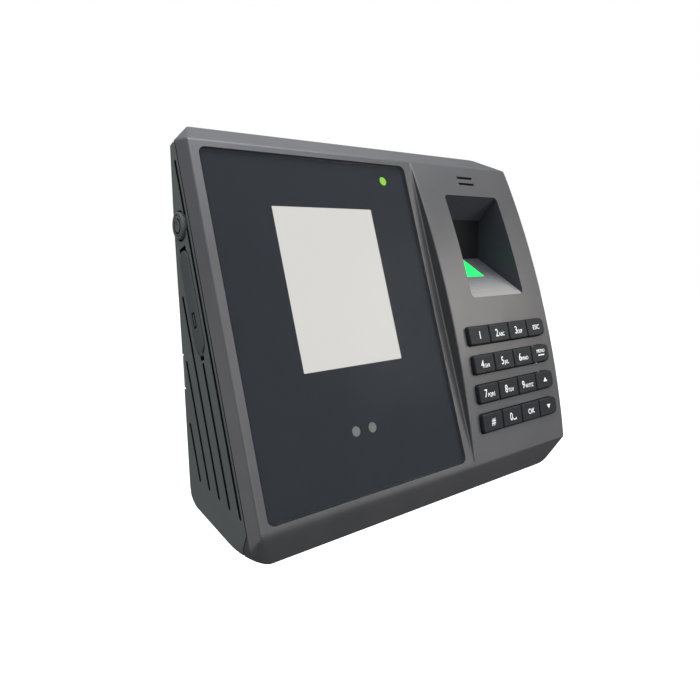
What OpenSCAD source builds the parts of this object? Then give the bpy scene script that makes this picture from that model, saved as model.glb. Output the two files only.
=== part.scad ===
// Wall-mounted fingerprint scanner terminal: a wedge-shaped housing with a display, a finger
// pocket and a keypad. X is to the right as seen from the front, the front faces -Y, +Z is up.
// The origin is on the wall, at the centre of the wall plate's screw holes.
// Panel frame: x to the right, y up along the tilted face, z out of the face.

/* [Body] */
// Width of the front face between its side ridges
face_w = 153.8; // [150:0.1:170]
// Height of the front face along its slope
face_h = 124; // [122:0.5:130]
// Angle of the front face from vertical, leaning back at the top
lean = 18; // [16:0.5:19]
// Distance from the wall to the centre of the front face
centre_depth = 28; // [28:0.1:32]
// Bevel width at the sides
bevel_side = 2.4; // [2:0.1:4]
// Bevel width along the top
bevel_top = 6.2; // [5:0.1:7]
// Bevel width along the bottom
bevel_bottom = 8.9; // [8:0.1:10]
// Depth of the bevels, down to the seam between the housings
bevel_depth = 4.2; // [4:0.1:4.5]
// Wall thickness of both housings
wall = 2.2; // [2:0.1:2.4]
// Width of the gap between the two housings
seam_gap = 0.45; // [0.3:0.05:0.5]

/* [Display side] */
// Width of the front glass
glass_w = 86.2; // [84:0.1:86.5]
// Height of the front glass
glass_h = 119; // [116:0.1:119.5]
// Thickness of the front glass
glass_t = 1.5; // [1:0.1:1.5]

/* [Keypad side] */
// Height of the bulge over the face at mid-height
bulge_h = 4.9; // [3:0.1:5]
// Width of the finger pocket's mouth
pocket_w = 33.3; // [31:0.1:34]
// Distance between key columns
key_pitch_x = 12.25; // [12:0.05:12.3]
// Distance between key rows
key_pitch_y = 11.55; // [11.5:0.05:11.6]
// Height of one key
key_h = 7.4; // [7:0.1:7.6]
// How far the keys stand out of the face
key_proud = 1.8; // [1:0.1:2]
// Travel of a key
key_travel = 1.0; // [0.6:0.1:1.1]

/* [Left side] */
// Width of the ventilation slots
slot_w = 1.7; // [1:0.1:1.8]
// Distance between the ventilation slots
slot_pitch = 6.65; // [6:0.05:6.8]
// Radius of the power button
button_r = 4.4; // [4:0.1:4.5]
// Length of the USB cover
cover_len = 33.6; // [32:0.1:34]
// Width of the USB cover
cover_w = 7; // [6.6:0.1:7]

/* [Wall plate] */
// Distance between the wall screw holes, along X
hole_dx = 90; // [80:1:92]
// Distance between the wall screw holes, along Z
hole_dz = 50; // [48:1:52]
// Radius of the wall screw holes
hole_r = 2.2; // [2:0.1:2.4]
// Thickness of the wall plate
plate_t = 1.5; // [1.2:0.1:1.5]

/* [Hidden] */
$fn = 48;
e = 0.01;                       // overlap for clean cuts
air = 0.15;                     // clearance round a fixed piece
play = 0.3;                     // clearance round a moving piece

// Outline of the body in the panel frame
out_w = face_w + 2 * bevel_side;
out_top = face_h / 2 + bevel_top;
out_bot = -face_h / 2 - bevel_bottom;
corner_r = [5, 20, 20, 7];      // top left, top right, bottom right, bottom left
corner_fn = [4, 48, 48, 48];    // the top left corner is cut flat
bottom_slope = 7.5;             // the underside rises towards the wall
heel_r = 7;                     // rounding between underside and back
deep = 80;                      // longer than the body is deep
flat_wall = 3.4;                // wall of the flat side, which holds the glass

// Seam between the housings, in the panel frame
seam_z = -bevel_depth;
brow_y = 64.8;                  // the front housing closes the top above this
brow_r = 4.5;
chin_y = -60.7;                 // the seam turns back and down below this

// Glass and display
glass_x = -30.5;
glass_r = 2.2;
mask_t = 0.2;
ledge_z = -glass_t - mask_t - 0.1;
lcd_w = 43.2;                   // lit area of a 2.8 inch display
lcd_h = 57.6;
lcd_x = -29;
lcd_y = 12.8;
lcd_module = [50, 69.2];
lcd_module_y = lcd_y - 2;
led_pos = [1.9, 53.5];
led_r = 1.8;
window_pos = [[-34.3, -38.2], [-27.1, -38.2]];
window_r = 1.9;

// Keypad side: a cylinder along X that meets the face at its top and bottom ridges
side_x0 = 16.9;
side_x1 = face_w / 2;
side_cx = (side_x0 + side_x1) / 2;
bulge_r = (pow(face_h / 2, 2) + bulge_h * bulge_h) / (2 * bulge_h);
function bulge(y) = bulge_h - bulge_r + sqrt(bulge_r * bulge_r - y * y);

// Finger pocket
pocket_cx = side_cx + 0.5;
pocket_y0 = 3.2;
pocket_y1 = 48;
ramp_angle = 42.5;              // of the ramp from the face
roof_angle = 27;                // of the roof from the face's normal
pocket_back = 5.5;              // distance from the wall to the pocket's end
guide_t = 1.5;
pocket_r = 2;
window_u = [15, 28.9];          // the sensor window's span along the ramp
window_x = [40.2, 53.3];        // its span across
function back_z(y, gap) = -(centre_depth - gap - y * sin(lean)) / cos(lean);

// Keys
key_x0 = side_cx - 1.5 * key_pitch_x;
key_y0 = -12.4;
key_gap = 0.45;
key_w = key_pitch_x - key_gap;
key_end_r = [1, 2.4];            // of the left and right ends of a row of keys
key_r = 0.6;
key_bottom = -2.4;
flange_t = 0.8;
row_w = 3 * key_pitch_x + key_w;
dome_h = 0.9;
keypad_top = key_bottom - key_travel - 0.2 - dome_h;
board_t = 1.6;
keypad_posts = [for (i = [-1, 1], j = [0.5, 2.5]) [side_cx + i * 16.5, key_y0 - j * key_pitch_y]];

// Left side
side_x = -out_w / 2;
port_z = -13.3;
button_pos = [37.8, -11.85];
side_gap = 0.5;                 // round the power button and the USB cover
button_proud = 1.0;
button_travel = 0.8;
cover_y1 = 29.9;
cover_y0 = cover_y1 - cover_len;
cover_t = 1.9;
pocket_d = 1.6;

// Inside
main_z = -8;
main_posts = [[-62, -47], [3.6, -47], [-59.5, 38.5], [3.6, 38]];
screw_r = 0.95;
housing_posts = [[-71.5, 51.5], [73, 51], [-71.5, -42], [73.6, -42]];
post_end = -6.5;
seat_z = -8.3;
io_y = -15;                     // rear face of the interface board, in the body frame
io_x = [-31, 44.5];
io_z = [-37, -7];
tamper_pos = [16, -12.5];
io_posts = [for (x = [-28, 41.5], z = [-34, -10.5]) [x, z]];

// Wall plate
plate_w = 112;
plate_h = 72;
plate_recess = 1.6;
ear_z = [-21.5, -10.5];
cable_x = [-26, 40];
cable_z = [-34, -5];
hook_x = 24;
hook_z = 27;
tongue_w = 18;
tongue_z = -54;
lock_y = -6;

// ---------- helpers ----------

module panel() {
    translate([0, -centre_depth, 0]) rotate([90 - lean, 0, 0]) children();
}

// A 2D shape in (y, z), extruded along X
module along_x(x0, x1) {
    translate([x0, 0, 0]) rotate([90, 0, 90]) linear_extrude(x1 - x0) children();
}

// A block given by its low and high corners
module block(a, b) {
    translate(a) cube(b - a);
}

module round_rect(size, r) {
    square([size[0] - 2 * r, size[1]], center = true);
    square([size[0], size[1] - 2 * r], center = true);
    for (i = [-1, 1], j = [-1, 1])
        translate([i * (size[0] / 2 - r), j * (size[1] / 2 - r)]) circle(r);
}

// A w by h rectangle with one radius at its left corners and another at its right ones
module end_shape(w, h, left_r, right_r) {
    translate([-w / 2 + left_r, -h / 2]) square([w - left_r - right_r, h]);
    for (s = [[-1, left_r], [1, right_r]]) {
        translate([s[0] * (w / 2 - s[1]) - s[1], -h / 2 + s[1]]) square([2 * s[1], h - 2 * s[1]]);
        for (j = [-1, 1]) translate([s[0] * (w / 2 - s[1]), j * (h / 2 - s[1])]) circle(s[1]);
    }
}

module plate_rr(size, r, z0, z1) {
    translate([0, 0, z0]) linear_extrude(z1 - z0) round_rect(size, r);
}

// Outline of the body, moved in by t
module outline(t) {
    x = out_w / 2 - t;
    corners = [[-x, out_top - t], [x, out_top - t], [x, out_bot + t], [-x, out_bot + t]];
    way = [[1, -1], [-1, -1], [-1, 1], [1, 1]];
    hull() for (i = [0:3]) {
        r = max(corner_r[i] - t, 1);
        translate(corners[i] + r * way[i]) circle(r, $fn = corner_fn[i]);
    }
}

// Side view of the space between the wall and the underside, in body (y, z), moved in by t
module side_view(t) {
    k = tan(bottom_slope);
    y0 = out_bot * sin(lean) - centre_depth + bevel_depth * cos(lean);
    z0 = out_bot * cos(lean) - bevel_depth * sin(lean);
    heel = [-heel_r, z0 - (y0 + heel_r) * k + heel_r / cos(bottom_slope)];
    intersection() {
        polygon([[-t, 90], [-deep, 90], [-deep, z0 - (deep + y0) * k + t / cos(bottom_slope)],
                 [-t, z0 + (-t - y0) * k + t / cos(bottom_slope)]]);
        union() {
            translate(heel) circle(heel_r - t);
            translate([-deep - 5, -deep]) square([deep + 5 - heel_r, 3 * deep]);
            translate([-deep - 5, heel[1]]) square([2 * deep, 2 * deep]);
        }
    }
}

// The cylinder of the bulge, moved in by t, between two X values and two y values
module bulge_block(t, x0, x1, y0, y1) {
    intersection() {
        block([x0, y0, -6], [x1, y1, 12]);
        translate([x0 - 1, 0, bulge_h - bulge_r]) rotate([0, 90, 0])
            cylinder(r = bulge_r - t, h = x1 - x0 + 2, $fn = 900);
    }
}

// The outer shape of the whole body, as one solid
module body_solid() {
    intersection() {
        panel() {
            hull() {
                translate([-face_w / 2, -face_h / 2, -1]) cube([face_w, face_h, 1]);
                translate([0, 0, -deep]) linear_extrude(deep - bevel_depth) outline(0);
            }
            bulge_block(0, side_x0, side_x1, -face_h / 2, face_h / 2);
        }
        along_x(-out_w, out_w) side_view(0);
    }
}

// The room inside both housings
module inner_room() {
    intersection() {
        panel() {
            translate([0, 0, -deep]) linear_extrude(deep - flat_wall) outline(wall);
            block([side_x0 + wall, -face_h / 2, -5], [side_x1, face_h / 2, -wall]);
            bulge_block(wall, side_x0 + wall, side_x1 - wall, -face_h / 2 + 4, face_h / 2 - 4);
        }
        along_x(-out_w, out_w) side_view(wall);
    }
}

// Side view of the rear housing's share, in panel (y, z), moved in by t
module rear_share(t) {
    offset(delta = -t) difference() {
        polygon([[brow_y, seam_z], [brow_y, -deep], [chin_y - 40, -deep], [chin_y - 40, seam_z - 40],
                 [chin_y, seam_z]]);
        translate([brow_y - brow_r, seam_z - brow_r]) difference() {
            square(brow_r + 1);
            circle(brow_r);
        }
    }
}

// ---------- housings ----------

// The space of the finger pocket, in the panel frame; grown by t
module pocket_space(t) {
    lip = bulge(pocket_y0);
    mouth = bulge(pocket_y1);
    kr = tan(ramp_angle);
    kt = tan(roof_angle);
    room = centre_depth - pocket_back;
    run = (room - pocket_y0 * sin(lean) + lip * cos(lean)) / (sin(lean) + kr * cos(lean));
    roof_y = (pocket_y1 - mouth * kt - room * kt / cos(lean)) / (1 - kt * tan(lean));
    translate([pocket_cx, 0, 0]) along_x(-pocket_w / 2 - t, pocket_w / 2 + t) offset(delta = t)
        polygon([[pocket_y0 - 6, lip + 6 * kr], [pocket_y0 + run, lip - run * kr],
                 [roof_y, back_z(roof_y, pocket_back)], [pocket_y1, mouth], [pocket_y1, 14]]);
}

// Places children on the ramp: y runs up the ramp, z out of it
module on_ramp() {
    translate([0, pocket_y0, bulge(pocket_y0)]) rotate([-ramp_angle, 0, 0]) children();
}

module key_row_shape(grow) {
    end_shape(row_w + 2 * grow, key_h + 2 * grow, key_end_r[0] + grow, key_end_r[1] + grow);
}

module speaker_slots() {
    for (y = [53.7, 56.6])
        translate([side_cx + 0.1, y, 0]) plate_rr([9.6, 1.1], 0.5, -6, 8);
}

module front_housing() {
    color("#5d5e64") difference() {
        union() {
            difference() {
                body_solid();
                panel() along_x(-out_w, out_w) rear_share(0);
                inner_room();
            }
            panel() {
                for (p = housing_posts)
                    translate([p[0], p[1], post_end])
                        cylinder(r = 3, h = (p[0] > side_x0 ? bulge(p[1]) : 0) - 1.2 - post_end);
                for (p = main_posts)
                    translate([p[0], p[1], main_z]) cylinder(r = 2.4, h = -flat_wall - main_z + e);
                for (p = keypad_posts)
                    translate([p[0], p[1], keypad_top]) cylinder(r = 1.2, h = bulge(p[1]) - wall - keypad_top + 0.5);
            }
        }
        panel() {
            translate([glass_x, 0, 0]) plate_rr([glass_w + 0.5, glass_h + 0.5], glass_r + 0.2, ledge_z, 5);
            translate([lcd_x, lcd_module_y, 0]) plate_rr(lcd_module + [0.6, 0.6], 0.8, -6, 1);
            translate([led_pos[0], led_pos[1], -6]) cylinder(r = led_r + 0.1, h = 8);
            for (p = window_pos) translate([p[0], p[1], -6]) cylinder(r = window_r + 0.1, h = 8);
            speaker_slots();
            intersection() {
                pocket_space(0);
                translate([pocket_cx, (pocket_y0 + pocket_y1) / 2, 0])
                    plate_rr([pocket_w, pocket_y1 - pocket_y0], pocket_r, -30, 9);
            }
            for (j = [0:3]) translate([side_cx, key_y0 - j * key_pitch_y, -8])
                linear_extrude(20) key_row_shape(play);
            for (p = housing_posts) translate([p[0], p[1], -8]) cylinder(r = 1.3, h = 8 - flat_wall + 0.8);
            for (p = main_posts) translate([p[0], p[1], -9]) cylinder(r = screw_r + 0.05, h = 4.2);
            for (p = keypad_posts) translate([p[0], p[1], keypad_top - 1]) cylinder(r = 0.75, h = 3.6);
        }
    }
}

// Upper end of ventilation slot i, which keeps its distance from the back
function slot_z(i) = -6.9 - i * slot_pitch;
function slot_top(i) = (centre_depth - (-slot_z(i) + 3.8) * cos(lean)) / sin(lean);
function slot_bottom(i) = -56.3 + 2.95 * i;

module vent_slots(x0, x1) {
    for (i = [0:4]) {
        y0 = slot_bottom(i) + slot_w / 2;
        y1 = min(slot_top(i), i == 1 ? cover_y0 - 3 : 100) - slot_w / 2;
        along_x(x0, x1) {
            translate([y0, slot_z(i) - slot_w / 2]) square([y1 - y0, slot_w]);
            for (y = [y0, y1]) translate([y, slot_z(i)]) circle(slot_w / 2);
        }
    }
}

module cover_shape(grow) {
    r = cover_w / 2;
    translate([cover_y0 + r, port_z]) circle(r + grow);
    translate([cover_y1 - r, port_z]) circle(r + grow);
    translate([cover_y0 + r, port_z - r - grow]) square([cover_len - 2 * r, 2 * r + 2 * grow]);
}

module rear_housing() {
    color("#666b68") difference() {
        union() {
            difference() {
                intersection() {
                    body_solid();
                    panel() along_x(-out_w, out_w) rear_share(seam_gap);
                }
                inner_room();
            }
            // Backing of the plate's recess and of the side pockets
            intersection() {
                body_solid();
                union() {
                    block([-plate_w / 2 - 2, -plate_recess - wall, -plate_h / 2 - 2],
                          [plate_w / 2 + 2, -1, plate_h / 2 + 2]);
                    block([-tongue_w / 2 - 2, -plate_recess - wall, -80], [tongue_w / 2 + 2, -1, 0]);
                    for (s = [-1, 1]) block([s * 66 - 12, -plate_recess - wall, ear_z[0] - 2],
                                            [s * 66 + 12, -1, ear_z[1] + 2]);
                    panel() along_x(side_x + 1, side_x + pocket_d + 1.2) {
                        cover_shape(1.6);
                        translate(button_pos) circle(button_r + 1.5);
                    }
                    panel() intersection() {
                        along_x(-out_w, out_w) rear_share(0.4);
                        for (p = housing_posts) translate([p[0], p[1], -deep]) cylinder(r = 3.6, h = deep + post_end);
                    }
                    for (p = io_posts)
                        translate([p[0], io_y, p[1]]) rotate([-90, 0, 0]) cylinder(r = 2.4, h = -io_y - 1);
                }
            }
        }
        // Housing screws
        panel() for (p = housing_posts) {
            translate([p[0], p[1], -deep]) cylinder(r = 2.7, h = deep + seat_z);
            translate([p[0], p[1], -deep]) cylinder(r = 1.5, h = deep);
        }
        for (p = io_posts) translate([p[0], io_y - 1, p[1]]) rotate([-90, 0, 0]) cylinder(r = screw_r + 0.05, h = 6);
        // Left side: slots, button and cover
        panel() {
            vent_slots(side_x - 1, side_x + 4);
            vent_slots(-side_x - 4, -side_x + 1);
            along_x(side_x - 1, side_x + pocket_d) {
                cover_shape(side_gap);
                translate([cover_y0 - 2.2, port_z - 1.4]) square([4, 2.8]);
                translate([cover_y1 - 4, port_z - 2.6]) square([5.2, 5.2]);
                translate(button_pos) circle(button_r + side_gap);
            }
            along_x(side_x - 1, side_x + 6) {
                translate(button_pos) circle(2.5);
                translate([cover_y0 + cover_len / 2, port_z]) square([15, 7.8], center = true);
            }
        }
        // Back: recess, hook slots, cable window, tamper hole
        block([-plate_w / 2 - 0.4, -plate_recess, -plate_h / 2 - 0.4], [plate_w / 2 + 0.4, 1, plate_h / 2 + 0.4]);
        block([-90, -plate_recess, ear_z[0] - 0.6], [90, 1, ear_z[1] + 0.6]);
        block([-tongue_w / 2 - 0.4, -plate_recess, tongue_z - 0.8], [tongue_w / 2 + 0.4, 1, 0]);
        block([-tongue_w / 2 - 0.4, -9.4, tongue_z - 0.8], [tongue_w / 2 + 0.4, 1, tongue_z + 2.4]);
        for (s = [-1, 1]) block([s * hook_x - 4.6, -6, hook_z - 0.6], [s * hook_x + 4.6, 1, hook_z + 5.2]);
        block([cable_x[0] + 2, -6, cable_z[0] + 2], [cable_x[1] - 2, 1, cable_z[1] - 2]);
        translate([0, lock_y, -90]) cylinder(r = 1.8, h = 40);
        translate([0, lock_y, -90]) cylinder(r = 3.2, h = 90 - 61.9);
    }
}

module housing_screws() {
    color("#3c3c3e") panel() for (p = housing_posts) translate([p[0], p[1], 0]) difference() {
        union() {
            translate([0, 0, seat_z - 1.6]) cylinder(r = 2.4, h = 1.6);
            translate([0, 0, seat_z - e]) cylinder(r = 1.25, h = 4.6);
        }
        translate([0, 0, seat_z - 2]) cylinder(r = 0.9, h = 1.2, $fn = 6);
    }
}

// ---------- display side ----------

module front_glass() {
    color("#383c40") panel() translate([glass_x, 0, 0]) plate_rr([glass_w, glass_h], glass_r, -glass_t, 0);
}

module glass_mask() {
    color("#1b1c1f") panel() difference() {
        translate([glass_x, 0, 0]) plate_rr([glass_w - 0.2, glass_h - 0.2], glass_r - 0.1, -glass_t - mask_t, -glass_t);
        translate([lcd_x, lcd_y, 0]) plate_rr([lcd_w, lcd_h], 0.3, -5, 1);
        translate([led_pos[0], led_pos[1], -5]) cylinder(r = led_r, h = 6);
        for (p = window_pos) translate([p[0], p[1], -5]) cylinder(r = window_r, h = 6);
    }
}

module lcd_panel() {
    color("#dbd9d4") panel() translate([lcd_x, lcd_module_y, 0])
        block([-lcd_module[0] / 2 + 0.5, -lcd_module[1] / 2 + 0.5, -3],
              [lcd_module[0] / 2 - 0.5, lcd_module[1] / 2 - 0.5, ledge_z]);
}

module lcd_frame() {
    color("#a9acb0") panel() translate([lcd_x, lcd_module_y, 0]) difference() {
        plate_rr(lcd_module, 0.6, -5.4, ledge_z);
        block([-lcd_module[0] / 2 + 0.4, -lcd_module[1] / 2 + 0.4, -3],
              [lcd_module[0] / 2 - 0.4, lcd_module[1] / 2 - 0.4, 0]);
    }
}

module light_pipe() {
    color("#8cd628") panel() translate([led_pos[0], led_pos[1], 0]) {
        translate([0, 0, -6.4]) cylinder(r = led_r - 0.1, h = 6.4 + ledge_z);
        translate([0, 0, -4.6]) cylinder(r = led_r + 0.9, h = 1);
    }
}

module sensor_windows() {
    color("#626560") panel() for (p = window_pos)
        translate([p[0], p[1], -3.4]) cylinder(r = window_r - 0.1, h = 3.4 + ledge_z);
}

module proximity_sensors() {
    color("#26282b") panel() for (p = window_pos) translate([p[0], p[1], main_z]) {
        cylinder(r = 2.5, h = 3);
        translate([0, 0, 3 - e]) cylinder(r = 1.5, h = 1.2);
    }
}

module indicator_board() {
    color("#2f6b3c") panel() difference() {
        translate([led_pos[0], led_pos[1], 0]) block([-6, -5, -8], [6, 5, -6.8]);
        translate([led_pos[0], led_pos[1], -9]) cylinder(r = 0.8, h = 4);
    }
    color("#e8e8e0") panel() translate([led_pos[0], led_pos[1], 0]) block([-1.6, -1.4, -6.8], [1.6, 1.4, -6.4]);
}

module card_antenna() {
    color("#2b5f46") panel() translate([lcd_x + 0.5, -49, 0]) difference() {
        plate_rr([56, 15], 2, -4.6, -flat_wall);
        plate_rr([47, 6], 1, -6, 0);
    }
}

// ---------- finger pocket ----------

module finger_guide() {
    color("#22262b") panel() difference() {
        union() {
            intersection() {
                pocket_space(guide_t);
                bulge_block(wall + 0.05, side_x0 + 4, side_x1 - 2, -5, 60);
                block([0, -20, -60], [90, 70, 20]);
            }
            intersection() {
                pocket_space(guide_t);
                block([0, -20, -60], [90, 70, -5]);
            }
            difference() {
                bulge_block(wall + 0.05, pocket_cx - pocket_w / 2 - 4, pocket_cx + pocket_w / 2 + 4,
                            pocket_y0 - 5, pocket_y1 + 3.4);
                bulge_block(wall + 1.4, 0, 90, -40, 70);
                block([0, -20, -60], [90, 70, -3]);
            }
        }
        pocket_space(0);
        on_ramp() block([window_x[0] - air, window_u[0], -4], [window_x[1] + air, window_u[1], 4]);
    }
}

module sensor_prism() {
    u = window_u + [air, -air];
    color("#28ff70") panel() on_ramp() along_x(window_x[0], window_x[1])
        polygon([[u[0], 0.1], [u[1], 0.1], [u[1], -guide_t - 1.4], [23, -11.5], [u[0] + 0.8, -11.5], [u[0], -8]]);
}

module sensor_lens() {
    color("#2a2a2c") panel() on_ramp() translate([(window_x[0] + window_x[1]) / 2, 5.4, -8]) rotate([-90, 0, 0]) {
        cylinder(r = 3.6, h = 5);
        translate([0, 0, 5 - e]) cylinder(r = 2.6, h = 2.4);
    }
}

module sensor_board() {
    x = (window_x[0] + window_x[1]) / 2;
    color("#2f6b3c") panel() on_ramp() difference() {
        block([x - 9, 4.2, -16.5], [x + 9, 5.4, -2.2]);
        for (s = [-1, 1]) translate([x + s * 7, 4, -14.5]) rotate([-90, 0, 0]) cylinder(r = 0.9, h = 2);
    }
}

module sensor_ribbon() {
    color("#d8d2c4") panel() along_x(40.5, 48.5)
        polygon([[-4.27, -9.45], [-6.45, -7.44], [-9.2, -6.4], [-14, -6.4], [-14, -6.1], [-9.1, -6.1],
                 [-6.18, -7.15], [-4, -9.15]]);
}

// ---------- keypad ----------

function key_pos(n) = [key_x0 + (n % 4) * key_pitch_x, key_y0 - floor(n / 4) * key_pitch_y];

// Plan of key n about its own centre: the outer side of an end key is rounder
module key_shape(n) {
    col = n % 4;
    end_shape(key_w, key_h, col == 0 ? key_end_r[0] : key_r, col == 3 ? key_end_r[1] : key_r);
}

module key(n) {
    p = key_pos(n);
    color("#26292e") panel() intersection() {
        translate([p[0], p[1], 0]) {
            translate([0, 0, key_bottom]) linear_extrude(14) key_shape(n);
            block([-key_w / 2 + 1, -key_h / 2 - 0.9, key_bottom], [key_w / 2 - 1, key_h / 2 + 0.9, key_bottom + flange_t]);
        }
        bulge_block(-key_proud, 0, 100, -60, 10);
    }
}

module keypad_membrane() {
    color("#8d9094") panel() difference() {
        union() {
            block([19.8, -57, keypad_top], [70.2, -8.2, keypad_top + 0.5]);
            for (n = [0:15]) translate([key_pos(n)[0], key_pos(n)[1], keypad_top]) cylinder(r = 2.6, h = dome_h);
        }
        for (p = keypad_posts) translate([p[0], p[1], keypad_top - 1]) cylinder(r = 1.4, h = 3);
    }
}

module keypad_board() {
    color("#2f6b3c") panel() difference() {
        block([19.8, -57, keypad_top - board_t], [70.2, -8.2, keypad_top]);
        for (p = keypad_posts) translate([p[0], p[1], keypad_top - 3]) cylinder(r = 0.85, h = 5);
    }
}

module keypad_screws() {
    color("#b8bcc0") panel() for (p = keypad_posts) translate([p[0], p[1], keypad_top - board_t]) {
        translate([0, 0, -1.1]) cylinder(r = 1.5, h = 1.1);
        translate([0, 0, -e]) cylinder(r = 0.7, h = 3.8);
    }
}

module keypad_ribbon() {
    color("#d8d2c4") panel() translate([0, -30, 0]) rotate([90, 0, 0]) linear_extrude(12)
        polygon([[24, -6.1], [24, -6.4], [14, -6.4], [10, main_z + 0.3], [5, main_z + 0.3], [5, main_z],
                 [10.2, main_z], [14.1, -6.7], [24.3, -6.7], [24.3, -6.1]]);
}

// ---------- sound ----------

module speaker() {
    color("#3a3b3e") panel() translate([side_cx, 57.5, 0]) {
        plate_rr([24, 8.4], 3, -5.6, -2.8);
        plate_rr([14, 6], 1, -7, -5.5);
    }
}

module speaker_mesh() {
    color("#111214") panel() translate([side_cx, 57.5, 0]) plate_rr([24, 8.4], 3, -2.8, -wall - 0.2);
}

// ---------- boards ----------

module main_board() {
    rear = main_z - board_t;
    color("#2a6a3d") panel() difference() {
        union() {
            block([-66, -52, rear], [8, 42.5, main_z]);
            block([-75, 32, rear], [-65, 42.5, main_z]);
            block([-20, 14, main_z - e], [-6, 28, main_z + 1.2]);
            block([-44, 8, main_z - e], [-30, 16, main_z + 1]);
            block([-8, -12, rear - 1.4], [4, 0, rear + e]);
        }
        for (p = main_posts) translate([p[0], p[1], -12]) cylinder(r = screw_r + 0.15, h = 8);
    }
}

module pan_screw() {
    cylinder(r = 2, h = 1.5);
    translate([0, 0, 1.5 - e]) cylinder(r = screw_r, h = 4.6);
}

module board_screws() {
    color("#b8bcc0") {
        panel() for (p = main_posts) translate([p[0], p[1], main_z - board_t - 1.5]) pan_screw();
        for (p = io_posts) translate([p[0], io_y - board_t - 1.5, p[1]]) rotate([-90, 0, 0]) pan_screw();
    }
}

module display_ribbon() {
    color("#d8a13c") panel() along_x(-40, -21)
        polygon([[-10, -5.4], [-10, -5.7], [-26, -5.7], [-29, main_z + 0.3], [-34, main_z + 0.3], [-34, main_z],
                 [-28.8, main_z], [-25.8, -6], [-9.7, -6], [-9.7, -5.4]]);
}

module coin_cell() {
    color("#c9ccce") panel() translate([-28, -26, main_z - board_t - 4.2]) {
        cylinder(r = 10, h = 3.2);
        translate([0, 0, 3.2 - e]) cylinder(r = 8.4, h = 1);
    }
}

module interface_board() {
    color("#2a6a3d") difference() {
        block([io_x[0], io_y - board_t, io_z[0]], [io_x[1], io_y, io_z[1]]);
        for (p = io_posts) translate([p[0], io_y - 3, p[1]]) rotate([-90, 0, 0]) cylinder(r = screw_r + 0.15, h = 5);
    }
}

module network_jack() {
    color("#b4b7ba") difference() {
        block([-22, io_y, -31], [-5.6, -1.9, -17.6]);
        block([-19.8, io_y + 2, -29], [-7.8, 0, -21.6]);
        block([-16.8, io_y + 2, -22], [-10.8, 0, -19.4]);
    }
}

module terminal_block() {
    pitch = 5.08;
    color("#3f8f5a") difference() {
        block([-2, io_y, -30], [-2 + 5 * pitch + 0.6, -3.4, -21.4]);
        for (i = [0:4]) {
            block([-1.4 + i * pitch, -9, -29], [-1.4 + i * pitch + 4.1, 0, -25.2]);
            translate([0.65 + i * pitch, -6.4, -25.3]) cylinder(r = 1.8, h = 5);
        }
    }
}

module power_jack() {
    color("#202124") difference() {
        union() {
            block([27.6, io_y, -31], [36.8, -5, -20]);
            translate([32.2, -5.1, -25.6]) rotate([-90, 0, 0]) cylinder(r = 4.6, h = 2.6);
        }
        translate([32.2, -12, -25.6]) rotate([-90, 0, 0]) cylinder(r = 3.1, h = 12);
    }
    color("#c9ccce") translate([32.2, -12.01, -25.6]) rotate([-90, 0, 0]) cylinder(r = 1, h = 8);
}

// ---------- left side ----------

module power_button() {
    mid = side_x + pocket_d - button_travel - 0.1;
    color("#50544f") panel() translate([0, button_pos[0], button_pos[1]]) rotate([0, 90, 0]) difference() {
        union() {
            translate([0, 0, side_x - button_proud]) cylinder(r = button_r, h = mid - side_x + button_proud);
            translate([0, 0, mid - e]) cylinder(r = 2.1, h = 3);
        }
        translate([0, 0, side_x - button_proud - 1]) difference() {
            cylinder(r = 3.6, h = 1.35);
            cylinder(r = 3.1, h = 1.35);
        }
    }
}

module power_switch() {
    x = side_x + pocket_d + 3.4;
    color("#2a2b2e") panel() translate([0, button_pos[0], button_pos[1]]) {
        block([x, -3, -1.9], [x + 3.4, 3, main_z - board_t - button_pos[1]]);
        translate([x - 0.15, 0, 0]) rotate([0, 90, 0]) cylinder(r = 1.1, h = 0.5);
    }
}

module usb_port() {
    y = cover_y0 + cover_len / 2;
    x = side_x + pocket_d;
    color("#b9bcc0") panel() translate([0, y, port_z]) difference() {
        block([x + 0.3, -7.2, -3.5], [x + 16, 7.2, main_z - board_t - port_z]);
        block([x - 1, -6.3, -2.6], [x + 14.5, 6.3, 2.6]);
    }
    color("#e6e6e4") panel() translate([0, y, port_z]) block([x + 4, -5.6, 0.4], [x + 14.6, 5.6, 2]);
}

// Flexible cover: its upper end is the hinge, at its outer face
module usb_cover() {
    y = cover_y0 + cover_len / 2;
    x0 = side_x + pocket_d - cover_t - 0.1;
    color("#43474a") panel() {
        along_x(x0, x0 + cover_t) cover_shape(0);
        translate([0, y, port_z]) block([x0 + cover_t - e, -5.6, -2], [x0 + cover_t + 2.4, 5.6, -0.2]);
        along_x(x0, x0 + 0.9) translate([cover_y0 - 0.9, port_z - 1.1]) square([2, 2.2]);
    }
}

// ---------- back ----------

// Bore along Y of the tamper switch, from y0 to y1
module tamper_bore(r, y0, y1) {
    translate([tamper_pos[0], y0, tamper_pos[1]]) rotate([-90, 0, 0]) cylinder(r = r, h = y1 - y0);
}

module tamper_switch() {
    color("#26282b") difference() {
        block([tamper_pos[0] - 4, io_y, tamper_pos[1] - 3.2], [tamper_pos[0] + 4, -6, tamper_pos[1] + 3.2]);
        tamper_bore(2.2, -11.4, -7.2);
        tamper_bore(1.7, -8, 0);
    }
}

module tamper_plunger() {
    color("#c23b32") {
        tamper_bore(1.9, -8.8, -7.4);
        tamper_bore(1.4, -7.4 - e, -0.05);
    }
}

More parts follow.
